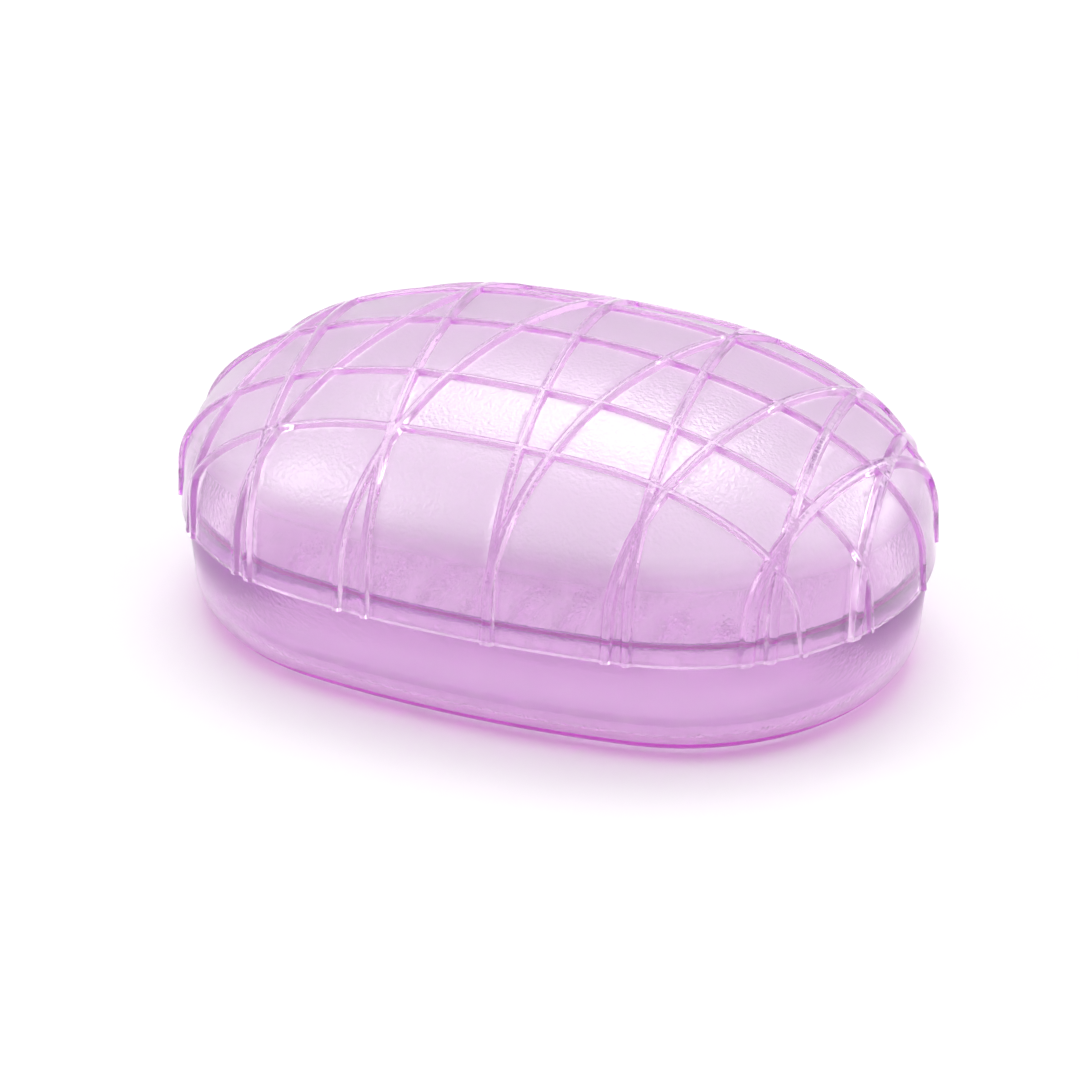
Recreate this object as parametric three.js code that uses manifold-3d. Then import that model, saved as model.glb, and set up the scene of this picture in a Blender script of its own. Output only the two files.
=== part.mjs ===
// Travel soap dish of translucent lilac plastic: a shallow oval base, a lift-out drain tray
// and a tall domed lid that lifts straight off. The lid carries a lattice of raised ribs.
// Millimetres, +Z up, X along the length. The origin is the middle of the flat underside.

import * as THREE from 'three';
import { mergeVertices } from 'three/addons/utils/BufferGeometryUtils.js';
import Module from 'manifold-3d';

const wasm = await Module();
wasm.setup();

// Plan outline of the lid's lower edge, an oval of four arcs
const LENGTH = 110;
const WIDTH = 74.6;
const SIDE_BULGE = 1.4; // half the width less the radius of the round ends

// Lid shell
const LID_HEIGHT = 28.8; // lower edge to the crown between the ribs
const LID_WALL = 1.1;
const SKIRT_HEIGHT = 5;
const SKIRT_DRAFT = 0.5;

// Raised ribs on the lid. Each cross rib is a straight line in plan: where it crosses the
// middle of the lid along X, and how far it leans from square, in degrees.
const RIB_HEIGHT = 0.8; // over the dome
const RIB_FOOT_HEIGHT = 0.5; // at the lid's lower edge
const CROSS_RIB_WIDTH = 1.7;
const CROSS_RIBS = [
  { at: -40.2, lean: 10.5 },
  { at: -35.7, lean: -6 },
  { at: -22.9, lean: 20 },
  { at: -16.5, lean: -5.5 },
  { at: -5.5, lean: 18 },
  { at: 3.1, lean: -4 },
  { at: 16.5, lean: 17 },
  { at: 22.1, lean: -4.5 },
  { at: 33, lean: 17 },
  { at: 40.1, lean: -5 },
  { at: 46.8, lean: 13.5 },
  { at: 48.5, lean: -8 },
];
const LONG_RIB_WIDTH = 1.1;
const LONG_RIB_OFFSETS = [-23.7, -14, 0, 14, 23.7]; // from the middle, across the width

// Base tub
const BASE_DEPTH = 16; // underside to the shoulder that the lid sits on
const FLOOR = 1.6;
const CORNER_RADIUS = 6.5; // outside, between the floor and the wall
const BASE_DRAFT = 0.8;
const LID_OVERHANG = 0.75; // how far the lid stands out past the base
const LIP_HEIGHT = 3;
const LIP_THICKNESS = 0.85;
const LIP_CLEARANCE = 0.2; // between the lip and the inside of the lid
const SEAT_GAP = 0.1; // under the lid's edge and under the tray's foot

// Drain tray
const TRAY_STAND = 3; // height of the foot that carries the plate
const TRAY_PLATE = 1.6;
const TRAY_CLEARANCE = 0.8; // between the plate and the base's wall
const FOOT_WIDTH = 1.5;
const FOOT_CLEARANCE = 0.4; // between the foot and the base's inner corner
const SLOT_WIDTH = 3;
const SLOT_PITCH = 7;
const SLOT_MARGIN = 2; // from the foot to the end of a slot
const SPINE_WIDTH = 6; // solid strip along the middle, between the two rows of slots

// Fineness of the curves
const END_ARC_STEPS = 16;
const SIDE_ARC_STEPS = 8;
const DOME_STEPS = 9;
const CORNER_STEPS = 4;
const SLOT_ARC_STEPS = 4;

// Levels and insets that follow from the sizes above
const lidEdge = BASE_DEPTH + SEAT_GAP;
const lipDraft = (SKIRT_DRAFT * LIP_HEIGHT) / SKIRT_HEIGHT;
const lipFoot = LID_WALL + LIP_CLEARANCE;
const wallInside = lipFoot + lipDraft + LIP_THICKNESS;
const innerCorner = CORNER_RADIUS - (wallInside - LID_OVERHANG);
const floorInset = wallInside + BASE_DRAFT + innerCorner;
const trayBottom = FLOOR + SEAT_GAP;
const trayUnderside = trayBottom + TRAY_STAND;
const trayTop = trayUnderside + TRAY_PLATE;
const belowCorner = Math.max(FLOOR + innerCorner - trayUnderside, 0);
const plateInset = floorInset - Math.sqrt(innerCorner ** 2 - belowCorner ** 2) + TRAY_CLEARANCE;
const footInset = floorInset + FOOT_CLEARANCE;
const slotInset = footInset + FOOT_WIDTH + SLOT_MARGIN;

// The four arcs of the plan outline, drawn in by inset. Drawing in keeps the arcs' centres.
function ovalArcs(inset) {
  const halfWidth = WIDTH / 2 - inset;
  const endRadius = halfWidth - SIDE_BULGE;
  const endCentre = LENGTH / 2 - inset - endRadius;
  const sideRadius = (endCentre ** 2 + halfWidth ** 2 - endRadius ** 2) / (2 * SIDE_BULGE);
  const sideCentre = sideRadius - halfWidth;
  const join = Math.atan2(sideCentre, endCentre);
  return { endRadius, endCentre, sideRadius, sideCentre, join };
}

// A level ring of the plan outline, drawn in by inset and then scaled about the middle
function ovalRing(inset, z, scale = 1) {
  const { endRadius, endCentre, sideRadius, sideCentre, join } = ovalArcs(inset);
  const arcs = [
    [endCentre, 0, endRadius, -join, join, END_ARC_STEPS],
    [0, -sideCentre, sideRadius, join, Math.PI - join, SIDE_ARC_STEPS],
    [-endCentre, 0, endRadius, Math.PI - join, Math.PI + join, END_ARC_STEPS],
    [0, sideCentre, sideRadius, Math.PI + join, 2 * Math.PI - join, SIDE_ARC_STEPS],
  ];
  return arcs.flatMap(([x, y, radius, start, end, steps]) => {
    const points = new THREE.EllipseCurve(x, y, radius, radius, start, end).getPoints(steps);
    return points.slice(0, -1).map((p) => new THREE.Vector3(p.x * scale, p.y * scale, z));
  });
}

// Half the width of the drawn-in outline at a place along its length, or 0 past its end
function halfWidthAt(x, inset) {
  const { endRadius, endCentre, sideRadius, sideCentre, join } = ovalArcs(inset);
  const reach = Math.abs(x);
  const alongSide = reach < sideRadius * Math.cos(join);
  if (alongSide) return Math.sqrt(sideRadius ** 2 - reach ** 2) - sideCentre;
  return Math.sqrt(Math.max(endRadius ** 2 - (reach - endCentre) ** 2, 0));
}

// A closed surface through rings of equal count, closed by a fan over each end. The first
// fan faces down and the last, which may rise to a point at crownZ, faces up.
function loft(rings, crownZ = rings.at(-1)[0].z) {
  const count = rings[0].length;
  const first = new THREE.Vector3(0, 0, rings[0][0].z);
  const points = [...rings.flat(), first, new THREE.Vector3(0, 0, crownZ)];
  const lastRing = (rings.length - 1) * count;
  const index = [];
  for (let i = 0; i < count; i += 1) {
    const next = (i + 1) % count;
    for (let ring = 0; ring < lastRing; ring += count) {
      index.push(ring + i, ring + next, ring + count + next);
      index.push(ring + i, ring + count + next, ring + count + i);
    }
    index.push(next, i, points.length - 2);
    index.push(lastRing + i, lastRing + next, points.length - 1);
  }
  const geometry = new THREE.BufferGeometry().setFromPoints(points);
  geometry.setIndex(index);
  return geometry;
}

// Geometry to a solid that can be joined and cut, and back again
function toSolid(geometry) {
  const bare = geometry.clone();
  bare.deleteAttribute('normal');
  bare.deleteAttribute('uv');
  const merged = mergeVertices(bare);
  const vertProperties = new Float32Array(merged.attributes.position.array);
  const triVerts = new Uint32Array(merged.index.array);
  return new wasm.Manifold(new wasm.Mesh({ numProp: 3, vertProperties, triVerts }));
}

function toGeometry(solid) {
  const { vertProperties, triVerts } = solid.getMesh();
  const geometry = new THREE.BufferGeometry();
  geometry.setAttribute('position', new THREE.BufferAttribute(vertProperties, 3));
  geometry.setIndex(new THREE.BufferAttribute(triVerts, 1));
  geometry.computeVertexNormals();
  return geometry;
}

const joinAll = (solids) => solids.reduce((whole, solid) => whole.add(solid));

// Rings of a quarter-round between a floor and a wall, from the floor up
function cornerRings(wallInset, radius, floorZ) {
  return Array.from({ length: CORNER_STEPS + 1 }, (_, step) => {
    const turn = (step / CORNER_STEPS) * (Math.PI / 2);
    const inset = wallInset + radius * (1 - Math.sin(turn));
    return ovalRing(inset, floorZ + radius * (1 - Math.cos(turn)));
  });
}

// Base tub: up the outside, over the shoulder and the lip, and down the inside to the floor
function baseGeometry() {
  const outside = cornerRings(LID_OVERHANG + BASE_DRAFT, CORNER_RADIUS, 0);
  const inside = cornerRings(wallInside + BASE_DRAFT, innerCorner, FLOOR);
  return loft([
    ...outside,
    ovalRing(LID_OVERHANG, BASE_DEPTH),
    ovalRing(lipFoot, BASE_DEPTH),
    ovalRing(lipFoot + lipDraft, BASE_DEPTH + LIP_HEIGHT),
    ovalRing(wallInside, BASE_DEPTH + LIP_HEIGHT),
    ...inside.reverse(),
  ]);
}

// The lid's outside moved out by offset, as a solid: a drafted skirt, which may start lower
// than the lid's edge, and over it a dome whose outline shrinks along a quarter of an ellipse
function domeSolid(offset, edgeOffset = offset, drop = 0) {
  const skirtTop = lidEdge + SKIRT_HEIGHT;
  const rise = LID_HEIGHT + offset - SKIRT_HEIGHT;
  const rings = [ovalRing(-edgeOffset, lidEdge)];
  if (drop > 0) rings.unshift(ovalRing(-edgeOffset, lidEdge - drop));
  for (let step = 0; step < DOME_STEPS; step += 1) {
    const turn = (step / DOME_STEPS) * (Math.PI / 2);
    rings.push(ovalRing(SKIRT_DRAFT - offset, skirtTop + rise * Math.sin(turn), Math.cos(turn)));
  }
  return toSolid(loft(rings, skirtTop + rise));
}

// An upright slab over a rib's straight line in plan, taller and longer than the lid
function ribSlab(x, y, turn, width) {
  const slab = new THREE.BoxGeometry(2 * LENGTH, width, 2 * LID_HEIGHT);
  slab.rotateZ(turn);
  slab.translate(x, y, lidEdge + LID_HEIGHT / 2);
  return toSolid(slab);
}

// Lid shell: the hollow dome, with the ribs cut from a slightly larger dome by their slabs
function lidGeometry() {
  const crossSlabs = CROSS_RIBS.map(({ at, lean }) => {
    const turn = Math.PI / 2 - THREE.MathUtils.degToRad(lean);
    return ribSlab(at, 0, turn, CROSS_RIB_WIDTH);
  });
  const longSlabs = LONG_RIB_OFFSETS.map((y) => ribSlab(0, y, 0, LONG_RIB_WIDTH));
  const slabs = joinAll([...crossSlabs, ...longSlabs]);
  const ribs = domeSolid(RIB_HEIGHT, RIB_FOOT_HEIGHT).intersect(slabs);
  const hollow = domeSolid(-LID_WALL, -LID_WALL, SKIRT_HEIGHT);
  return toGeometry(domeSolid(0).add(ribs).subtract(hollow));
}

// A round-ended slot across the tray, from one place to another along Y
function slotSolid(x, startY, endY) {
  const radius = SLOT_WIDTH / 2;
  const outline = new THREE.Shape();
  outline.absarc(x, endY - radius, radius, 0, Math.PI);
  outline.absarc(x, startY + radius, radius, Math.PI, 2 * Math.PI);
  const depth = 2 * TRAY_PLATE;
  const options = { depth, bevelEnabled: false, curveSegments: SLOT_ARC_STEPS };
  const slot = new THREE.ExtrudeGeometry(outline, options);
  slot.translate(0, 0, (trayUnderside + trayTop - depth) / 2);
  return toSolid(slot);
}

// Drain tray: a plate on a foot that runs round below it, with two rows of slots
function trayGeometry() {
  const plate = toSolid(loft([
    ovalRing(footInset + FOOT_WIDTH, trayUnderside),
    ovalRing(footInset + FOOT_WIDTH, trayBottom),
    ovalRing(footInset, trayBottom),
    ovalRing(footInset, trayUnderside),
    ovalRing(plateInset, trayUnderside),
    ovalRing(plateInset, trayTop),
  ]));
  const slots = [];
  const perSide = Math.floor(LENGTH / 2 / SLOT_PITCH);
  for (let i = -perSide; i <= perSide; i += 1) {
    const x = i * SLOT_PITCH;
    const near = SPINE_WIDTH / 2;
    const far = halfWidthAt(x, slotInset);
    const longEnough = far - near > 2 * SLOT_WIDTH;
    if (!longEnough) continue;
    slots.push(slotSolid(x, near, far), slotSolid(x, -far, -near));
  }
  return toGeometry(plate.subtract(joinAll(slots)));
}

function subPart(name, geometry, color, roughness, opacity) {
  const material = new THREE.MeshStandardMaterial({
    color, roughness, metalness: 0, transparent: true, opacity,
  });
  const mesh = new THREE.Mesh(geometry, material);
  mesh.name = name;
  return mesh;
}

const soapDish = new THREE.Group();
soapDish.add(subPart('base_tub', baseGeometry(), '#dba9e6', 0.45, 0.75));
soapDish.add(subPart('drain_tray', trayGeometry(), '#e3bcec', 0.4, 0.8));
soapDish.add(subPart('lid_shell', lidGeometry(), '#e0b4ea', 0.35, 0.7));

export default soapDish;
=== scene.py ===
"""Studio look of an oval travel soap dish moulded in translucent lilac plastic."""

import logging
import math
from dataclasses import dataclass
from enum import Enum
from typing import Any, Callable, ClassVar, Iterable, Sequence

import bmesh
import bpy
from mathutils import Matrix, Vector

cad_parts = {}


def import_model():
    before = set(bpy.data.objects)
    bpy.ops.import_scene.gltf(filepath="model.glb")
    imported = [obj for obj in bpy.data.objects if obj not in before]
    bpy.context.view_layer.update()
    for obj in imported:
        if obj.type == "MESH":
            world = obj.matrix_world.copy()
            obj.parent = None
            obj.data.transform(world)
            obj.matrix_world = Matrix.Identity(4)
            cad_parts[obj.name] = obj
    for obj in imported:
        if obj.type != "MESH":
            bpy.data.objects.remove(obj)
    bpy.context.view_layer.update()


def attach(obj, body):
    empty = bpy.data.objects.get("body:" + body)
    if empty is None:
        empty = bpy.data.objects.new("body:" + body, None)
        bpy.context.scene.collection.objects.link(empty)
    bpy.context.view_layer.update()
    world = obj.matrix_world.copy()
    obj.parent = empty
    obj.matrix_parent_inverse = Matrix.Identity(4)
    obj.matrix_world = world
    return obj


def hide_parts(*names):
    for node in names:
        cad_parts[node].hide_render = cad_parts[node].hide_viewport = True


LOG = logging.getLogger("soap_dish")
MM = 0.001
FROST = "frost"  # corner attribute: 0 on polished plastic, 1 on the roughest grain
PAINTED_SHADE_DEPTH = "depth"  # corner attribute of painted shade: 0 on open faces, 1 where one looks far along the wall

Colour = tuple[float, float, float, float]
Edges = list[bmesh.types.BMEdge]
Faces = list[bmesh.types.BMFace]


class FinishAndShade(Enum):
    """Stretches of a moulded surface.

    Each value holds the frost, as a share of the roughest grain, and the depth, as a share of
    the longest way that one looks along the wall. The depth sets the painted shade, a deeper
    colour laid on those faces.
    """

    POLISHED = (0.0, 0.0)
    # A depth above 0 is painted shade: a deeper colour on the rib flanks, the heel and the lip's
    # edge.
    PAINTED_FLANK = (0.0, 0.2)
    PAINTED_HEEL = (0.2, 0.6)
    PAINTED_EDGE = (0.2, 1.0)
    # These two also lay a faint painted shade, a touch of the deep colour, on the lower lid.
    CLEAR = (0.05, 0.05)
    SMOOTH_PAINTED_SHADE = (0.4, 0.05)
    SMOOTH = (0.4, 0.0)
    SATIN = (0.65, 0.0)
    GRAINED = (1.0, 0.0)


def linear(hex_colour: str) -> Colour:
    """Turns an sRGB hex colour into linear light.

    Args:
        hex_colour: Six hex digits after a hash sign.

    Returns:
        Red, green, blue and an alpha of one.
    """
    parts = [int(hex_colour[i : i + 2], 16) / 255 for i in (1, 3, 5)]
    r, g, b = (c / 12.92 if c <= 0.04045 else ((c + 0.055) / 1.055) ** 2.4 for c in parts)
    return r, g, b, 1.0


def add_node(
    tree: bpy.types.NodeTree, kind: str, inputs: dict[Any, Any] | None = None, **settings: Any
) -> bpy.types.Node:
    """Adds one shader node.

    Args:
        tree: Node tree that gets the node.
        kind: Type name of the node.
        inputs: Input name or index, and its value or the socket that feeds it.
        **settings: Attributes of the node itself.

    Returns:
        The new node.
    """
    node = tree.nodes.new(kind)
    for name, value in settings.items():
        setattr(node, name, value)
    for name, value in (inputs or {}).items():
        if isinstance(value, bpy.types.NodeSocket):
            tree.links.new(value, node.inputs[name])
        else:
            node.inputs[name].default_value = value
    return node


def reckon(
    tree: bpy.types.NodeTree, operation: str, first: Any, second: Any, clamp: bool = False
) -> bpy.types.NodeSocket:
    """Adds one sum on two numbers.

    Args:
        tree: Node tree that gets the sum.
        operation: Name of the operation.
        first: First number, or the socket that gives it.
        second: Second number, or the socket that gives it.
        clamp: Whether the result is held between 0 and 1.

    Returns:
        The socket that gives the result.
    """
    inputs = {0: first, 1: second}
    node = add_node(tree, "ShaderNodeMath", inputs, operation=operation, use_clamp=clamp)
    return node.outputs["Value"]


@dataclass(frozen=True)
class Oval:
    """Plan outline of four arcs: two round ends joined by two slightly bowed sides.

    Attributes:
        length: Overall length along X.
        width: Overall width along Y.
        bulge: Half the width less the radius of the round ends.
    """

    length: float
    width: float
    bulge: float

    def arcs(self, inset: float) -> tuple[float, float, float, float, float]:
        """Works out the arcs of the outline drawn in by a distance.

        Args:
            inset: Distance from the outline, positive inwards.

        Returns:
            End radius, end centre, side radius, side centre and the angle where they join.
        """
        half_width = self.width / 2 - inset
        end_radius = half_width - self.bulge
        end_centre = self.length / 2 - inset - end_radius
        side_radius = (end_centre**2 + half_width**2 - end_radius**2) / (2 * self.bulge)
        side_centre = side_radius - half_width
        return end_radius, end_centre, side_radius, side_centre, math.atan2(side_centre, end_centre)

    def place(self, share: float, inset: float = 0.0) -> Vector:
        """Finds a point on the outline.

        Args:
            share: Share of the way round, from 0 to 1.
            inset: Distance that the outline is drawn in.

        Returns:
            The point in plan.
        """
        end_r, end_c, side_r, side_c, join = self.arcs(0.0)
        spans = [2 * join, math.pi - 2 * join] * 2
        radii = [end_r, side_r] * 2
        centres = [(end_c, 0.0), (0.0, -side_c), (-end_c, 0.0), (0.0, side_c)]
        left = share * sum(span * radius for span, radius in zip(spans, radii))
        start = -join
        for span, radius, centre in zip(spans, radii, centres):
            if left <= span * radius:
                break
            left -= span * radius
            start += span
        turn = start + left / radius
        reach = radius - inset
        return Vector((centre[0] + reach * math.cos(turn), centre[1] + reach * math.sin(turn)))

    def gauge(self, x: float, y: float, inset: float = 0.0) -> float:
        """Says how far out a plan point lies, as a share of the outline's reach that way.

        Args:
            x: Place along the length.
            y: Place across the width.
            inset: Distance that the outline is drawn in.

        Returns:
            0 at the middle and 1 on the outline.
        """
        x, y = abs(x), abs(y)
        size = x * x + y * y
        if size == 0:
            return 0.0
        end_r, end_c, side_r, side_c, join = self.arcs(inset)
        under = (end_c * x) ** 2 - size * (end_c**2 - end_r**2)
        reach = (end_c * x + math.sqrt(max(under, 0.0))) / size
        if under < 0 or math.atan2(reach * y, reach * x - end_c) > join:
            under = (side_c * y) ** 2 - size * (side_c**2 - side_r**2)
            reach = (math.sqrt(under) - side_c * y) / size
        return 1 / reach

    def half_width(self, x: float, inset: float = 0.0) -> float:
        """Gives half the width of the outline at a place along its length.

        Args:
            x: Place along the length.
            inset: Distance that the outline is drawn in.

        Returns:
            Half the width there, and 0 past the outline's end.
        """
        end_r, end_c, side_r, side_c, join = self.arcs(inset)
        reach = abs(x)
        if reach < side_r * math.cos(join):
            return math.sqrt(side_r**2 - reach**2) - side_c
        return math.sqrt(max(end_r**2 - (reach - end_c) ** 2, 0.0))


@dataclass(frozen=True)
class Styrene:
    """Lilac polystyrene, injection moulded, polished on its ribs and grained on its faces.

    Clear styrene tints only what passes through it, so a thin wall looks pale, and an edge
    seen along the wall looks deep magenta; here that deep magenta is painted shade, a colour
    laid on the marked faces. The grain scatters part of the light, so a grained wall glows
    evenly and hides what lies far behind it.

    Attributes:
        name: Name of the material.
        tint: What the plastic leaves of white light over the sample thickness.
        skin: Colour of the light that the grain scatters.
        edge: Painted shade, the colour where one looks some way along the wall.
        deep: Painted shade, the colour where one looks far along the wall.
        gloss: Roughness where the mould was polished.
        frost: Roughness of the roughest grain.
        sheen: Roughness of the soft reflection on the grain.
        haze: Share of the light that the roughest grain scatters.
        rim: Share of the light that an edge gives off in its deep colour, which is painted shade.
        glow: Share of the scattered light that goes on through the wall.
        lustre: Refractive index that gives the grain its sheen.
        grain: Width of the grain, in millimetres. It is drawn coarser than a usual grain
            of about a tenth of a millimetre, which would be too fine to show.
        relief: Depth of the grain, in millimetres.
    """

    INDEX: ClassVar[float] = 1.59  # refractive index of polystyrene
    SAMPLE: ClassVar[float] = 10 * MM  # thickness that the tint is given for
    FLOW: ClassVar[float] = 18 * MM  # width of the faint waves left by the flow in the mould
    WEAR: ClassVar[float] = 0.02  # how far these waves change the roughness
    SHEEN_CAP: ClassVar[float] = 0.5  # largest share of the sheen, where the view is grazing

    name: str
    tint: str
    skin: str
    edge: str
    deep: str
    gloss: float
    frost: float
    sheen: float
    haze: float
    rim: float
    glow: float
    lustre: float
    grain: float
    relief: float

    def absorption(self) -> tuple[Colour, float]:
        """Turns the tint into what the absorption node takes.

        Returns:
            The colour and the density.
        """
        losses = [-math.log(c) / self.SAMPLE for c in linear(self.tint)[:3]]
        density = max(losses)
        r, g, b = (1 - loss / density for loss in losses)
        return (r, g, b, 1.0), density

    def ramp(self, tree: bpy.types.NodeTree, depth: bpy.types.NodeSocket) -> bpy.types.NodeSocket:
        """Adds the colours from an open face to an edge.

        Args:
            tree: Node tree of the material.
            depth: How far one looks along the wall, from 0 to 1.

        Returns:
            The colour there.
        """
        # The edge colours of this ramp are painted shade.
        node = add_node(tree, "ShaderNodeValToRGB", {"Fac": depth})
        stops = node.color_ramp.elements
        stops.new(FinishAndShade.PAINTED_HEEL.value[1])
        for stop, colour in zip(stops, (self.skin, self.edge, self.deep)):
            stop.color = linear(colour)
        return node.outputs["Color"]

    def depth(self, tree: bpy.types.NodeTree) -> bpy.types.NodeSocket:
        """Adds how far one looks along the wall, for faces that are seen from outside.

        The depth sets the painted shade of the edges. Light that runs inside the wall meets these
        faces from behind. It is left alone, because the painted edge colour would soak it up and
        darken the whole wall.

        Args:
            tree: Node tree of the material.

        Returns:
            The depth, from 0 to 1.
        """
        marked = add_node(tree, "ShaderNodeAttribute", attribute_name=PAINTED_SHADE_DEPTH).outputs["Fac"]
        behind = add_node(tree, "ShaderNodeNewGeometry").outputs["Backfacing"]
        return reckon(tree, "SUBTRACT", marked, behind, clamp=True)

    def roughness(
        self,
        tree: bpy.types.NodeTree,
        place: bpy.types.NodeSocket,
        frosted: bpy.types.NodeSocket,
    ) -> bpy.types.NodeSocket:
        """Adds the roughness, which runs from polish to grain with faint waves in it.

        Args:
            tree: Node tree of the material.
            place: Place on the piece.
            frosted: Share of the roughest grain.

        Returns:
            The roughness.
        """
        rough = add_node(
            tree,
            "ShaderNodeMapRange",
            {"Value": frosted, "To Min": self.gloss, "To Max": self.frost},
        )
        flow = add_node(
            tree, "ShaderNodeTexNoise", {"Vector": place, "Scale": 1 / self.FLOW, "Detail": 3.0}
        )
        worn = add_node(
            tree,
            "ShaderNodeMapRange",
            {"Value": flow.outputs["Fac"], "To Min": -self.WEAR, "To Max": self.WEAR},
        )
        return reckon(tree, "ADD", rough.outputs["Result"], worn.outputs["Result"], clamp=True)

    def pitted(
        self,
        tree: bpy.types.NodeTree,
        place: bpy.types.NodeSocket,
        frosted: bpy.types.NodeSocket,
    ) -> bpy.types.NodeSocket:
        """Adds the relief of the grain.

        Args:
            tree: Node tree of the material.
            place: Place on the piece.
            frosted: Share of the roughest grain.

        Returns:
            The direction that the surface faces.
        """
        grain = add_node(
            tree,
            "ShaderNodeTexNoise",
            {"Vector": place, "Scale": 1 / (self.grain * MM), "Detail": 1.0},
        )
        bump = add_node(
            tree,
            "ShaderNodeBump",
            {"Height": grain.outputs["Fac"], "Strength": frosted, "Distance": self.relief * MM},
        )
        return bump.outputs["Normal"]

    def satin(
        self, tree: bpy.types.NodeTree, skin: bpy.types.NodeSocket, normal: bpy.types.NodeSocket
    ) -> bpy.types.NodeSocket:
        """Adds the grained surface, which scatters light and has a soft sheen.

        Args:
            tree: Node tree of the material.
            skin: Colour of the scattered light.
            normal: Direction that the surface faces.

        Returns:
            The surface.
        """
        back = add_node(tree, "ShaderNodeBsdfDiffuse", {"Color": skin, "Normal": normal})
        through = add_node(tree, "ShaderNodeBsdfTranslucent", {"Color": skin, "Normal": normal})
        scatter = add_node(
            tree,
            "ShaderNodeMixShader",
            {0: self.glow, 1: back.outputs["BSDF"], 2: through.outputs["BSDF"]},
        )
        mirror = add_node(tree, "ShaderNodeFresnel", {"IOR": self.lustre, "Normal": normal})
        share = reckon(tree, "MINIMUM", mirror.outputs["Fac"], self.SHEEN_CAP)
        sheen = add_node(
            tree, "ShaderNodeBsdfGlossy", {"Roughness": self.sheen, "Normal": normal}
        )
        grained = add_node(
            tree,
            "ShaderNodeMixShader",
            {0: share, 1: scatter.outputs["Shader"], 2: sheen.outputs["BSDF"]},
        )
        return grained.outputs["Shader"]

    def material(self) -> bpy.types.Material:
        """Builds the node material.

        Returns:
            The material.
        """
        made = bpy.data.materials.new(self.name)
        made.use_nodes = True
        tree = made.node_tree
        tree.nodes.clear()
        place = add_node(tree, "ShaderNodeTexCoord").outputs["Object"]
        frosted = add_node(tree, "ShaderNodeAttribute", attribute_name=FROST).outputs["Fac"]
        # The depth lays painted shade, the edge colours, into the skin colour of both the clear and
        # the grained surface.
        depth = self.depth(tree)
        skin = self.ramp(tree, depth)
        normal = self.pitted(tree, place, frosted)
        clear = add_node(
            tree,
            "ShaderNodeBsdfPrincipled",
            {
                "Base Color": skin,
                "Roughness": self.roughness(tree, place, frosted),
                "Normal": normal,
                "IOR": self.INDEX,
                "Transmission Weight": 1.0,
            },
        )
        veil = reckon(tree, "MULTIPLY", reckon(tree, "POWER", frosted, 2.0), self.haze)
        # Painted shade: marked edges also scatter part of the light in their deep colour.
        share = reckon(tree, "MAXIMUM", veil, reckon(tree, "MULTIPLY", depth, self.rim))
        body = add_node(
            tree,
            "ShaderNodeMixShader",
            {0: share, 1: clear.outputs["BSDF"], 2: self.satin(tree, skin, normal)},
        )
        loss, density = self.absorption()
        tint = add_node(tree, "ShaderNodeVolumeAbsorption", {"Color": loss, "Density": density})
        add_node(
            tree,
            "ShaderNodeOutputMaterial",
            {"Surface": body.outputs["Shader"], "Volume": tint.outputs["Volume"]},
        )
        return made


# Lilac styrene from a mould with a grained dome and polished ribs. It gives the eye a pale dome
# that glows with a soft highlight, glassy lines across it with painted shade on their flanks,
# and a clearer, pinker skirt, its pink partly painted shade.
LID_PLASTIC = Styrene(
    name="lilac_styrene_moulded_lid",
    tint="#FBD0FF",
    skin="#FFFCFF",
    edge="#E24CDC",
    deep="#A81CA0",
    gloss=0.03,
    frost=0.24,
    sheen=0.3,
    haze=0.92,
    rim=0.6,
    glow=0.78,
    lustre=2.8,
    grain=0.55,
    relief=0.1,
)
# The same styrene from a smooth mould, in thicker walls. It gives the eye an even, deeper lilac
# with magenta lines of painted shade at the lip and the bottom corner, where one looks far
# along the wall.
BASE_PLASTIC = Styrene(
    name="lilac_styrene_moulded_base",
    tint="#FCE4FF",
    skin="#FFF8FF",
    edge="#EE3CE4",
    deep="#CC22C0",
    gloss=0.05,
    frost=0.22,
    sheen=0.3,
    haze=0.15,
    rim=0.9,
    glow=0.6,
    lustre=1.6,
    grain=0.55,
    relief=0.03,
)
# A paler styrene from a satin mould. It gives the eye a milky plate that catches the light
# inside the dish.
TRAY_PLASTIC = Styrene(
    name="pale_lilac_styrene_moulded_tray",
    tint="#FDDCFF",
    skin="#FFF9FF",
    edge="#EE70EA",
    deep="#B838B4",
    gloss=0.1,
    frost=0.24,
    sheen=0.3,
    haze=0.75,
    rim=0.3,
    glow=0.5,
    lustre=1.6,
    grain=0.6,
    relief=0.03,
)


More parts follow.
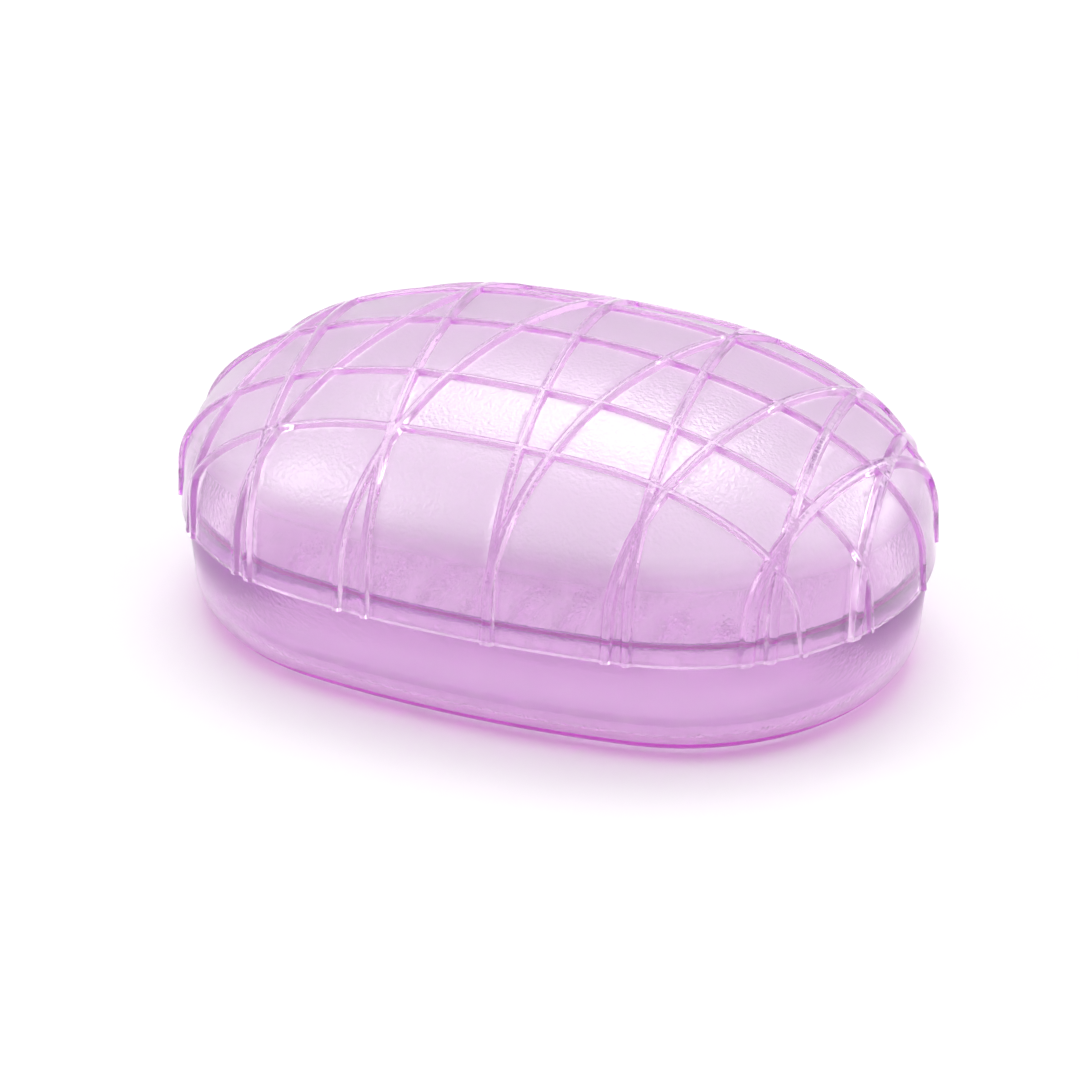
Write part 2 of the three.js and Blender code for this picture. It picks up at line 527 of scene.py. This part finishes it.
class Moulding:
    """A moulded piece, grown from level outlines that are bridged into walls."""

    LEVEL: ClassVar[float] = 0.001 * MM  # outlines closer in height than this lie on one level
    WELD: ClassVar[float] = 0.002 * MM  # points closer than this become one
    CREASE: ClassVar[float] = math.radians(50)  # edges that turn by more than this stay crisp

    def __init__(self, segments: int) -> None:
        """Opens an empty mesh.

        Args:
            segments: Points in each outline.
        """
        self.segments = segments
        self.mesh = bmesh.new()
        self.frost = self.mesh.loops.layers.float.new(FROST)
        # Layer of painted shade: how far one looks along the wall at each corner.
        self.depth = self.mesh.loops.layers.float.new(PAINTED_SHADE_DEPTH)
        self.level_faces: Faces = []

    def outline(self, place: Callable[[float], Vector], z: float, points: int = 0) -> Edges:
        """Adds one level closed outline.

        Args:
            place: Gives the plan point at a share of the way round.
            z: Height of the outline.
            points: Points in this outline, where it differs from the piece's own.

        Returns:
            The outline's edges.
        """
        count = points or self.segments
        verts = bmesh.ops.create_circle(self.mesh, segments=count, radius=1.0)["verts"]
        for i, vert in enumerate(verts):
            vert.co = place(i / count).to_3d()
            vert.co.z = z
        return list({edge for vert in verts for edge in vert.link_edges})

    def ring(self, oval: Oval, inset: float, z: float, shrink: float = 1.0) -> Edges:
        """Adds one level oval outline.

        Args:
            oval: Outline that it follows.
            inset: Distance that the outline is drawn in.
            z: Height of the outline.
            shrink: Share that is left of its size.

        Returns:
            The outline's edges.
        """
        return self.outline(lambda share: oval.place(share, inset) * shrink, z)

    def wall(self, outlines: Sequence[Edges], texture: FinishAndShade) -> None:
        """Bridges each outline to the next, or fills between two that lie on one level.

        Args:
            outlines: Outlines in order along the wall.
            texture: Finish of the mould, and painted shade, there.
        """
        for low, high in zip(outlines, outlines[1:]):
            if abs(low[0].verts[0].co.z - high[0].verts[0].co.z) < self.LEVEL:
                self.flat([low, high], texture)
            else:
                faces = bmesh.ops.bridge_loops(self.mesh, edges=low + high)["faces"]
                self.finish(faces, texture)

    def flat(self, outlines: Sequence[Edges], texture: FinishAndShade) -> None:
        """Fills a level face inside the first outline and outside the others.

        Args:
            outlines: The outer outline, then the holes.
            texture: Finish of the mould, and painted shade, there.
        """
        edges = [edge for outline in outlines for edge in outline]
        filled = bmesh.ops.triangle_fill(
            self.mesh, edges=edges, use_beauty=True, normal=Vector((0.0, 0.0, 1.0))
        )["geom"]
        faces = [item for item in filled if isinstance(item, bmesh.types.BMFace)]
        self.finish(faces, texture)
        self.level_faces += faces

    def finish(self, faces: Faces, texture: FinishAndShade) -> None:
        """Marks faces with the finish of the mould.

        Args:
            faces: The faces.
            texture: Finish of the mould, and painted shade, there.
        """
        # Each texture also lays its painted shade on the corners.
        for face in faces:
            for corner in face.loops:
                corner[self.frost], corner[self.depth] = texture.value

    def fade(self, low: float, high: float, texture: FinishAndShade) -> None:
        """Lets the finish so far run out downwards into another one.

        Args:
            low: Height under which only the other finish is left.
            high: Height over which nothing changes.
            texture: The other finish, with its painted shade.
        """
        for face in self.mesh.faces:
            for corner in face.loops:
                up = min(max((corner.vert.co.z - low) / (high - low), 0.0), 1.0)
                up *= up * (3 - 2 * up)
                # The painted shade runs out together with the finish.
                frost, depth = texture.value
                finer = min(corner[self.frost], frost)
                corner[self.frost] = finer + (corner[self.frost] - finer) * up
                corner[self.depth] = depth + (corner[self.depth] - depth) * up

    def piece(self, name: str) -> bpy.types.Object:
        """Closes the mesh and makes it an object.

        Args:
            name: Name of the piece.

        Returns:
            The new object.
        """
        for face in self.mesh.faces:
            face.smooth = True
        for face in self.level_faces:
            face.smooth = False
        bmesh.ops.remove_doubles(self.mesh, verts=self.mesh.verts, dist=self.WELD)
        bmesh.ops.recalc_face_normals(self.mesh, faces=self.mesh.faces)
        data = bpy.data.meshes.new(name)
        self.mesh.to_mesh(data)
        self.mesh.free()
        data.set_sharp_from_angle(angle=self.CREASE)
        made = bpy.data.objects.new(name, data)
        bpy.context.scene.collection.objects.link(made)
        return made


@dataclass(frozen=True)
class Rib:
    """A raised rib over a straight line in plan.

    Attributes:
        x: Where its line passes along the length.
        y: Where its line passes across the width.
        turn: Angle of its line from the length, in radians.
        width: Width of its foot.
    """

    x: float
    y: float
    turn: float
    width: float

    def across(self) -> Vector:
        """Gives the level direction square to the rib."""
        return Vector((-math.sin(self.turn), math.cos(self.turn), 0.0))

    def offset(self, point: Vector) -> float:
        """Gives how far a point lies from the rib's middle, as a share of half its width."""
        return abs(self.across().dot(point - Vector((self.x, self.y, 0.0)))) / (self.width / 2)


@dataclass
class LidShell:
    """Domed lid with a straight skirt and a lattice of raised ribs.

    Attributes:
        oval: Outline of the lower edge.
        edge: Height of the lower edge above the underside of the dish.
        height: Lower edge to the crown between the ribs.
        wall: Thickness of the shell.
        skirt: Height of the straight skirt.
        draft: How far the skirt leans in.
        rib_height: Height of a rib over the dome.
        foot_height: Height of a rib at the lower edge.
        cross_width: Width of a cross rib.
        long_width: Width of a long rib.
        cross_ribs: Where each cross rib passes the middle along X, in millimetres, and its lean.
        long_ribs: Where each long rib runs across the width, in millimetres.
        clear_below: Height under which the outside is nearly clear.
        smooth_below: Height under which the outside was left smooth.
        grained_above: Height over which the grain of the outside is at its full depth.
        section: Cross-section of a rib: share of its half width, and share of its height.
        crest: Share of a rib's half width at which its flanks begin.
        segments: Points in an outline.
        skirt_steps: Steps up the skirt.
        dome_steps: Steps from the skirt to the crown.
    """

    SNAP: ClassVar[float] = 0.004 * MM  # a cut runs through points that lie this near to it

    oval: Oval
    edge: float = 16.1 * MM
    height: float = 28.8 * MM
    wall: float = 1.1 * MM
    skirt: float = 5.0 * MM
    draft: float = 0.5 * MM
    rib_height: float = 0.8 * MM
    foot_height: float = 0.5 * MM
    cross_width: float = 1.7 * MM
    long_width: float = 1.1 * MM
    cross_ribs: tuple[tuple[float, float], ...] = (
        (-40.2, 10.5),
        (-35.7, -6.0),
        (-22.9, 20.0),
        (-16.5, -5.5),
        (-5.5, 18.0),
        (3.1, -4.0),
        (16.5, 17.0),
        (22.1, -4.5),
        (33.0, 17.0),
        (40.1, -5.0),
        (46.8, 13.5),
        (48.5, -8.0),
    )
    long_ribs: tuple[float, ...] = (-23.7, -14.0, 0.0, 14.0, 23.7)
    clear_below: float = 20.5 * MM
    smooth_below: float = 25.0 * MM
    grained_above: float = 31.0 * MM
    section: tuple[tuple[float, float], ...] = (
        (0.0, 1.0),
        (0.4, 0.98),
        (0.56, 0.86),
        (0.84, 0.18),
        (0.93, 0.04),
        (1.0, 0.0),
    )
    crest: float = 0.5
    segments: int = 192
    skirt_steps: int = 4
    dome_steps: int = 44

    def ribs(self) -> list[Rib]:
        """Lists the ribs of the lattice.

        Returns:
            The long ribs, then the cross ribs.
        """
        made = [Rib(0.0, y * MM, 0.0, self.long_width) for y in self.long_ribs]
        for at, lean in self.cross_ribs:
            made.append(Rib(at * MM, 0.0, math.radians(90 - lean), self.cross_width))
        return made

    def face(self, body: Moulding, inset: float, texture: FinishAndShade) -> Edges:
        """Builds one face of the shell.

        Args:
            body: Mesh that gets the face.
            inset: Distance in from the shell's outside.
            texture: Finish of the mould, and painted shade, there.

        Returns:
            The outline at the lower edge.
        """
        top = self.edge + self.skirt
        rise = self.height - inset - self.skirt
        outlines = []
        for i in range(self.skirt_steps + 1):
            up = i / self.skirt_steps
            outlines.append(
                body.ring(self.oval, inset + self.draft * up, self.edge + self.skirt * up)
            )
        for i in range(1, self.dome_steps):
            turn = math.pi / 2 * i / self.dome_steps
            z = top + rise * math.sin(turn)
            outlines.append(body.ring(self.oval, inset + self.draft, z, math.cos(turn)))
        body.wall(outlines, texture)
        crown = bmesh.ops.contextual_create(body.mesh, geom=outlines[-1])["faces"]
        body.finish(bmesh.ops.poke(body.mesh, faces=crown)["faces"], texture)
        return outlines[0]

    def settle(self, point: Vector) -> Vector:
        """Moves a point of a cut facet out onto the true dome.

        Args:
            point: The point on the facet.

        Returns:
            The point on the dome or the skirt.
        """
        top = self.edge + self.skirt
        if point.z <= top:
            inset = self.draft * (point.z - self.edge) / self.skirt
            share = 1 / self.oval.gauge(point.x, point.y, inset)
            return Vector((point.x * share, point.y * share, point.z))
        rise = (point.z - top) / (self.height - self.skirt)
        share = 1 / math.hypot(self.oval.gauge(point.x, point.y, self.draft), rise)
        return Vector((point.x * share, point.y * share, top + (point.z - top) * share))

    def profile(self, offset: float) -> float:
        """Gives the height of a rib's cross-section.

        Args:
            offset: Distance from the rib's middle, as a share of half its width.

        Returns:
            The height there, as a share of its full height.
        """
        for (near, high), (far, low) in zip(self.section, self.section[1:]):
            if offset <= far:
                return high + (low - high) * (offset - near) / (far - near)
        return 0.0

    def cut(self, mesh: bmesh.types.BMesh, rib: Rib) -> None:
        """Cuts the outside along the corners of a rib's cross-section.

        Args:
            mesh: Mesh that holds the outside.
            rib: The rib.
        """
        across = rib.across()
        for share in sorted({sign * part for part, _ in self.section for sign in (1, -1)}):
            bmesh.ops.bisect_plane(
                mesh,
                geom=[*mesh.verts, *mesh.edges, *mesh.faces],
                plane_co=Vector((rib.x, rib.y, 0.0)) + across * (share * rib.width / 2),
                plane_no=across,
                dist=self.SNAP,
            )

    def lift(self, vert: bmesh.types.BMVert, ribs: Sequence[Rib]) -> Vector:
        """Works out how far the ribs raise a point of the outside.

        Args:
            vert: The point.
            ribs: Every rib of the lattice.

        Returns:
            The move, square to the dome, or level where the point is on the skirt.
        """
        up = min((vert.co.z - self.edge) / self.skirt, 1.0)
        tall = self.foot_height + (self.rib_height - self.foot_height) * up
        out = vert.normal.copy()
        if up < 1:
            out.z = 0.0
            out.normalize()
        return out * tall * max(self.profile(rib.offset(vert.co)) for rib in ribs)

    def raise_ribs(self, body: Moulding) -> None:
        """Cuts the outside along every rib and lifts what lies between the cuts.

        Args:
            body: Mesh that holds the outside and nothing else yet.
        """
        mesh = body.mesh
        ribs = self.ribs()
        for rib in ribs:
            self.cut(mesh, rib)
        for vert in mesh.verts:
            vert.co = self.settle(vert.co)
        bmesh.ops.recalc_face_normals(mesh, faces=mesh.faces)
        mesh.normal_update()
        for face in mesh.faces:
            off = min(rib.offset(face.calc_center_median()) for rib in ribs)
            # Rib crests stay polished; their flanks get a little painted shade.
            if off < self.crest:
                body.finish([face], FinishAndShade.POLISHED)
            elif off < 1:
                body.finish([face], FinishAndShade.PAINTED_FLANK)
        lifts = [self.lift(vert, ribs) for vert in mesh.verts]
        for vert, lift in zip(mesh.verts, lifts):
            vert.co += lift

    def build(self) -> bpy.types.Object:
        """Builds the lid: its outside, the ribs, the inside and the lower edge between them.

        Returns:
            The lid.
        """
        body = Moulding(self.segments)
        self.face(body, 0.0, FinishAndShade.GRAINED)
        # Downwards the lid turns smoother and clearer and gets a faint painted shade.
        body.fade(self.smooth_below, self.grained_above, FinishAndShade.SMOOTH_PAINTED_SHADE)
        body.fade(self.clear_below, self.smooth_below, FinishAndShade.CLEAR)
        self.raise_ribs(body)
        rim = [edge for edge in body.mesh.edges if edge.is_boundary]
        inner = self.face(body, self.wall, FinishAndShade.SMOOTH)
        body.wall([rim, inner], FinishAndShade.POLISHED)
        return body.piece("lid_dome_ribbed")

    def dress(self, lid: bpy.types.Object) -> None:
        """Gives the lid its plastic and rides it on its body, in the place of the plain solid.

        Args:
            lid: The built lid.
        """
        lid.data.materials.append(LID_PLASTIC.material())
        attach(lid, "lid")
        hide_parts("lid_shell")


@dataclass
class BaseTub:
    """Shallow oval tub with a shoulder for the lid and a lip inside it.

    Attributes:
        oval: Outline of the lid's lower edge, from which the insets are measured.
        depth: Underside to the shoulder.
        floor: Thickness of the floor.
        corner: Outside radius between the floor and the wall.
        draft: How far the wall leans in towards the floor.
        overhang: How far the lid stands out past the base.
        lip_foot: Inset of the lip's outside at the shoulder.
        lip_top: Inset of the lip's outside at its top.
        lip_height: Height of the lip above the shoulder.
        lip_thickness: Thickness of the lip.
        soft: Small radius on the moulded edges.
        rim_line: Height of the line of painted shade, in the deep colour, along the top of the lip.
        segments: Points in an outline.
        corner_steps: Steps round the corner radius.
        heel: First and last step of it that look along the floor and so get the deep colour as
            painted shade.
    """

    oval: Oval
    depth: float = 16.0 * MM
    floor: float = 1.6 * MM
    corner: float = 6.5 * MM
    draft: float = 0.8 * MM
    overhang: float = 0.75 * MM
    lip_foot: float = 1.3 * MM
    lip_top: float = 1.6 * MM
    lip_height: float = 3.0 * MM
    lip_thickness: float = 0.85 * MM
    soft: float = 0.15 * MM
    rim_line: float = 0.5 * MM
    segments: int = 192
    corner_steps: int = 18
    heel: tuple[int, int] = (5, 11)

    def quarter(self, body: Moulding, wall: float, radius: float, floor: float) -> list[Edges]:
        """Adds the outlines of a rounded corner, from the floor up to the wall.

        Args:
            body: Mesh that gets the outlines.
            wall: Inset of the wall above the corner.
            radius: Radius of the corner.
            floor: Height of the floor.

        Returns:
            The outlines in order.
        """
        turns = [math.pi / 2 * i / self.corner_steps for i in range(self.corner_steps + 1)]
        steps = [
            (wall + radius * (1 - math.sin(turn)), floor + radius * (1 - math.cos(turn)))
            for turn in turns
        ]
        return [body.ring(self.oval, inset, z) for inset, z in steps]

    def build(self) -> bpy.types.Object:
        """Builds the tub: its outside, the shoulder, the lip and the inside.

        Returns:
            The tub.
        """
        body = Moulding(self.segments)
        inside = self.lip_top + self.lip_thickness
        inner_corner = self.corner - (inside - self.overhang)
        top = self.depth + self.lip_height
        outer = self.quarter(body, self.overhang + self.draft, self.corner, 0.0)
        inner = self.quarter(body, inside + self.draft, inner_corner, self.floor)
        rim = self.lip_top - (self.lip_top - self.lip_foot) * self.rim_line / self.lip_height
        steps = [
            (self.overhang, self.depth - self.soft),
            (self.overhang + self.soft, self.depth),
            (self.lip_foot, self.depth),
            (rim, top - self.rim_line),
            (self.lip_top, top - self.soft),
            (self.lip_top + self.soft, top),
            (inside - self.soft, top),
            (inside, top - self.soft),
        ]
        shoulder = [body.ring(self.oval, inset, z) for inset, z in steps]
        low, high = self.heel
        body.wall(outer[: low + 1], FinishAndShade.SMOOTH)
        # Painted shade: the heel in the deep colour.
        body.wall(outer[low : high + 1], FinishAndShade.PAINTED_HEEL)
        body.wall([*outer[high:], shoulder[0]], FinishAndShade.SMOOTH)
        body.wall(shoulder[:4], FinishAndShade.SMOOTH)
        # Painted shade: the top of the lip in the deep colour.
        body.wall(shoulder[3:6], FinishAndShade.PAINTED_EDGE)
        body.wall(shoulder[5:], FinishAndShade.POLISHED)
        share = self.lip_height / (top - self.floor - inner_corner)
        lip_root = body.ring(self.oval, inside + self.draft * share, self.depth)
        body.wall([*inner, lip_root], FinishAndShade.GRAINED)
        body.wall([lip_root, shoulder[-1]], FinishAndShade.SMOOTH)
        body.flat([outer[0]], FinishAndShade.SMOOTH)
        body.flat([inner[0]], FinishAndShade.GRAINED)
        return body.piece("base_tub_moulded")

    def dress(self, tub: bpy.types.Object) -> None:
        """Gives the tub its plastic and rides it on its body, in the place of the plain solid.

        Args:
            tub: The built tub.
        """
        tub.data.materials.append(BASE_PLASTIC.material())
        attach(tub, "base")
        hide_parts("base_tub")


@dataclass
class DrainTray:
    """Slotted plate on a low foot that keeps the soap out of its water.

    Attributes:
        oval: Outline of the lid's lower edge, from which the insets are measured.
        bottom: Height of the foot's underside.
        stand: Height of the foot.
        plate: Thickness of the plate.
        plate_inset: Inset of the plate's edge.
        foot_inset: Inset of the foot's outside.
        foot_width: Thickness of the foot.
        slot_width: Width of a slot.
        slot_pitch: Distance from slot to slot.
        slot_margin: From the foot to the end of a slot.
        spine_width: Solid strip along the middle.
        soft: Small radius on the moulded edges.
        segments: Points in an outline of the plate or the foot.
        slot_points: Points in an outline of a slot.
    """

    LEVEL_TURN: ClassVar[float] = 1e-6  # points with a smaller sine lie half way along a slot

    oval: Oval
    bottom: float = 1.7 * MM
    stand: float = 3.0 * MM
    plate: float = 1.6 * MM
    plate_inset: float = 4.36 * MM
    foot_inset: float = 8.45 * MM
    foot_width: float = 1.5 * MM
    slot_width: float = 3.0 * MM
    slot_pitch: float = 7.0 * MM
    slot_margin: float = 2.0 * MM
    spine_width: float = 6.0 * MM
    soft: float = 0.3 * MM
    segments: int = 144
    slot_points: int = 24

    def slots(self) -> list[tuple[float, float, float]]:
        """Lists the slots, on both sides of the spine and clear of the foot.

        Returns:
            For each slot its place along X, and where it starts and ends along Y.
        """
        near = self.spine_width / 2
        inset = self.foot_inset + self.foot_width + self.slot_margin
        per_side = int(self.oval.length / 2 / self.slot_pitch)
        made = []
        for i in range(-per_side, per_side + 1):
            x = i * self.slot_pitch
            far = self.oval.half_width(x, inset)
            if far - near > 2 * self.slot_width:
                made += [(x, near, far), (x, -far, -near)]
        return made

    def slot_point(self, slot: tuple[float, float, float], share: float, grow: float) -> Vector:
        """Finds a point on the outline of a slot with round ends.

        Args:
            slot: Place of the slot along X, and its start and end along Y.
            share: Share of the way round, from 0 to 1.
            grow: Distance that the outline is widened.

        Returns:
            The point in plan.
        """
        x, start, end = slot
        turn = 2 * math.pi * share
        side = math.sin(turn)
        radius = self.slot_width / 2 + grow
        half = (end - start - self.slot_width) / 2
        shift = math.copysign(half, side) if abs(side) > self.LEVEL_TURN else 0.0
        return Vector((x + radius * math.cos(turn), (start + end) / 2 + shift + radius * side))

    def build(self) -> bpy.types.Object:
        """Builds the tray: its edge and foot, the slots and the two level faces.

        Returns:
            The tray.
        """
        body = Moulding(self.segments)
        under = self.bottom + self.stand
        top = under + self.plate
        foot_inside = self.foot_inset + self.foot_width
        steps = [
            (self.plate_inset + self.soft, top),
            (self.plate_inset, top - self.soft),
            (self.plate_inset, under + self.soft),
            (self.plate_inset + self.soft, under),
            (self.foot_inset, under),
            (self.foot_inset, self.bottom + self.soft),
            (self.foot_inset + self.soft, self.bottom),
            (foot_inside - self.soft, self.bottom),
            (foot_inside, self.bottom + self.soft),
            (foot_inside, under),
        ]
        rings = [body.ring(self.oval, inset, z) for inset, z in steps]
        body.wall(rings, FinishAndShade.SATIN)
        upper, lower = [rings[0]], [rings[-1]]
        slot_steps = [
            (self.soft, top),
            (0.0, top - self.soft),
            (0.0, under + self.soft),
            (self.soft, under),
        ]
        for slot in self.slots():
            loops = [
                body.outline(
                    lambda share: self.slot_point(slot, share, grow), z, self.slot_points
                )
                for grow, z in slot_steps
            ]
            body.wall(loops, FinishAndShade.SATIN)
            upper.append(loops[0])
            lower.append(loops[-1])
        body.flat(upper, FinishAndShade.SATIN)
        body.flat(lower, FinishAndShade.SATIN)
        return body.piece("drain_tray_slotted")

    def dress(self, tray: bpy.types.Object) -> None:
        """Gives the tray its plastic and rides it on its body, in the place of the plain solid.

        Args:
            tray: The built tray.
        """
        tray.data.materials.append(TRAY_PLASTIC.material())
        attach(tray, "tray")
        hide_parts("drain_tray")


def bearing(azimuth: float, elevation: float) -> Vector:
    """Turns a direction seen from the dish into a unit vector.

    Args:
        azimuth: Direction round the dish, in degrees, 0 in front of its long side.
        elevation: Height above the horizon, in degrees.

    Returns:
        The unit vector.
    """
    turn, up = math.radians(azimuth), math.radians(elevation)
    return Vector((math.sin(turn) * math.cos(up), -math.cos(turn) * math.cos(up), math.sin(up)))


@dataclass(frozen=True)
class Softbox:
    """A lamp with an even white front that faces the dish.

    Attributes:
        name: Name of the lamp.
        azimuth: Direction round the dish, in degrees, 0 in front of its long side.
        elevation: Height above the horizon, in degrees.
        distance: Distance from the dish, in metres.
        width: Width of its front, in metres.
        height: Height of its front, in metres.
        brightness: Brightness of its front, where a white floor in full light is 1.
    """

    name: str
    azimuth: float
    elevation: float
    distance: float
    width: float
    height: float
    brightness: float

    def place(self) -> Vector:
        """Gives where the middle of its front hangs."""
        return bearing(self.azimuth, self.elevation) * self.distance

    def power(self) -> float:
        """Gives the power in watts that makes its front as bright as asked."""
        return self.brightness * math.pi * self.width * self.height


@dataclass(frozen=True)
class Unlit:
    """A part of the room that gets less light than the rest.

    Attributes:
        azimuth: Direction of its middle round the dish, in degrees.
        elevation: Height of its middle above the horizon, in degrees.
        core: Angle from its middle up to which it is at its darkest, in degrees.
        reach: Angle from its middle at which the lit room begins, in degrees.
        level: What is left there of the room's light.
    """

    azimuth: float
    elevation: float
    core: float
    reach: float
    level: float


@dataclass
class Studio:
    """Pale floor, soft light and the camera of the photograph.

    Attributes:
        lens: Focal length, in millimetres.
        sensor: Width of the camera's sensor, in millimetres.
        eye: Where the camera stands, in metres.
        azimuth: Direction of the camera round the dish, in degrees.
        elevation: Height of the camera above the horizon, in degrees.
        near: Nearest distance that the camera shows, in metres.
        far: Farthest distance that it shows, in metres.
        paper: Colour of the floor.
        floor_size: Width of the floor, in metres.
        floor_gap: Air between the floor and the underside of the dish.
        lift: White added to the floor where it is seen, so that it reads as plain white.
        room: Brightness of the room, where a white floor in full light is 1.
        unlit: The darker parts of the room, by the camera and behind the dish.
        softboxes: The lamps.
        clear_bounces: Clear faces that light may cross.
        gloss_bounces: Glossy faces that it may meet on its way.
        matt_bounces: Scattering faces that it may meet on its way.
    """

    lens: float = 150.0
    sensor: float = 36.0
    eye: tuple[float, float, float] = (0.2153, -0.5216, 0.3181)
    azimuth: float = 22.643
    elevation: float = 28.447
    near: float = 0.01
    far: float = 50.0
    paper: str = "#F0F0F0"
    floor_size: float = 8.0
    floor_gap: float = 0.1 * MM
    lift: float = 0.03
    room: float = 0.97
    unlit: tuple[Unlit, ...] = (
        Unlit(-6.0, 20.0, 8.0, 28.0, 0.15),
        Unlit(-165.0, 24.0, 18.0, 52.0, 0.42),
    )
    softboxes: tuple[Softbox, ...] = (
        Softbox("top_softbox", -160.0, 68.0, 2.0, 1.3, 1.0, 3.1),
        Softbox("left_softbox", -60.0, 38.0, 1.8, 0.7, 0.5, 3.1),
        Softbox("right_softbox", 138.0, 24.0, 1.8, 1.0, 0.6, 2.4),
    )
    clear_bounces: int = 48
    gloss_bounces: int = 16
    matt_bounces: int = 12

    def camera(self) -> None:
        """Sets the camera at the photograph's angle."""
        data = bpy.data.cameras.new("photo_camera")
        data.lens = self.lens
        data.sensor_width = self.sensor
        data.clip_start, data.clip_end = self.near, self.far
        back = bearing(self.azimuth, self.elevation)
        camera = bpy.data.objects.new("photo_camera", data)
        camera.location = self.eye
        camera.rotation_euler = (-back).to_track_quat("-Z", "Y").to_euler()
        bpy.context.scene.collection.objects.link(camera)
        bpy.context.scene.camera = camera

    def floor(self) -> None:
        """Lays the floor of matt paper, an even white ground that takes the dish's soft shadow."""
        mesh = bmesh.new()
        bmesh.ops.create_grid(mesh, x_segments=1, y_segments=1, size=self.floor_size / 2)
        bmesh.ops.translate(mesh, verts=mesh.verts, vec=Vector((0.0, 0.0, -self.floor_gap)))
        data = bpy.data.meshes.new("studio_floor")
        mesh.to_mesh(data)
        mesh.free()
        paper = bpy.data.materials.new("matt_white_paper_floor")
        paper.use_nodes = True
        tree = paper.node_tree
        tree.nodes.clear()
        matt = add_node(tree, "ShaderNodeBsdfDiffuse", {"Color": linear(self.paper)})
        ray = add_node(tree, "ShaderNodeLightPath").outputs
        seen = ray["Is Camera Ray"]
        for kind in ("Is Glossy Ray", "Is Transmission Ray"):
            seen = reckon(tree, "MAXIMUM", seen, ray[kind])
        lift = reckon(tree, "MULTIPLY", seen, self.lift)
        glow = add_node(tree, "ShaderNodeEmission", {"Strength": lift})
        paper_white = add_node(
            tree, "ShaderNodeAddShader", {0: matt.outputs["BSDF"], 1: glow.outputs["Emission"]}
        )
        add_node(tree, "ShaderNodeOutputMaterial", {"Surface": paper_white.outputs["Shader"]})
        data.materials.append(paper)
        floor = bpy.data.objects.new("studio_floor", data)
        bpy.context.scene.collection.objects.link(floor)

    def hang(self, box: Softbox) -> None:
        """Hangs one softbox that faces the dish.

        Args:
            box: The softbox.
        """
        data = bpy.data.lights.new(box.name, "AREA")
        data.shape = "RECTANGLE"
        data.size, data.size_y = box.width, box.height
        data.energy = box.power()
        lamp = bpy.data.objects.new(box.name, data)
        lamp.location = box.place()
        lamp.rotation_euler = (-box.place()).to_track_quat("-Z", "Y").to_euler()
        bpy.context.scene.collection.objects.link(lamp)

    def sky(self) -> None:
        """Fills the room with white light, less of it from its unlit parts."""
        world = bpy.data.worlds.new("white_studio")
        bpy.context.scene.world = world
        world.use_nodes = True
        tree = world.node_tree
        tree.nodes.clear()
        way = add_node(tree, "ShaderNodeTexCoord").outputs["Generated"]
        level: Any = self.room
        for part in self.unlit:
            near = add_node(
                tree,
                "ShaderNodeVectorMath",
                {0: way, 1: bearing(part.azimuth, part.elevation)},
                operation="DOT_PRODUCT",
            )
            left = add_node(
                tree,
                "ShaderNodeMapRange",
                {
                    "Value": near.outputs["Value"],
                    "From Min": math.cos(math.radians(part.reach)),
                    "From Max": math.cos(math.radians(part.core)),
                    "To Min": 1.0,
                    "To Max": part.level,
                },
                interpolation_type="SMOOTHSTEP",
            )
            level = reckon(tree, "MULTIPLY", left.outputs["Result"], level)
        white = add_node(
            tree, "ShaderNodeBackground", {"Color": linear("#FFFFFF"), "Strength": level}
        )
        add_node(tree, "ShaderNodeOutputWorld", {"Surface": white.outputs["Background"]})

    def build(self) -> None:
        """Sets up the whole studio."""
        self.camera()
        self.floor()
        self.sky()
        for box in self.softboxes:
            self.hang(box)
        self.paths()
        bpy.context.scene.view_settings.view_transform = "Standard"

    def paths(self) -> None:
        """Lets light cross as many clear walls as the dish has, without blurring it on the way."""
        cycles = bpy.context.scene.cycles
        cycles.max_bounces = self.clear_bounces
        cycles.transmission_bounces = self.clear_bounces
        cycles.glossy_bounces = self.gloss_bounces
        cycles.diffuse_bounces = self.matt_bounces
        cycles.blur_glossy = 0.0


def main() -> None:
    """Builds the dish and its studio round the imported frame."""
    logging.basicConfig(level=logging.INFO, format="%(message)s")
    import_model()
    oval = Oval(length=110.0 * MM, width=74.6 * MM, bulge=1.4 * MM)
    Studio().build()
    for part in (BaseTub(oval), DrainTray(oval), LidShell(oval)):
        piece = part.build()
        part.dress(piece)
        LOG.info("%s: %d faces", piece.name, len(piece.data.polygons))


if __name__ == "__main__":
    main()
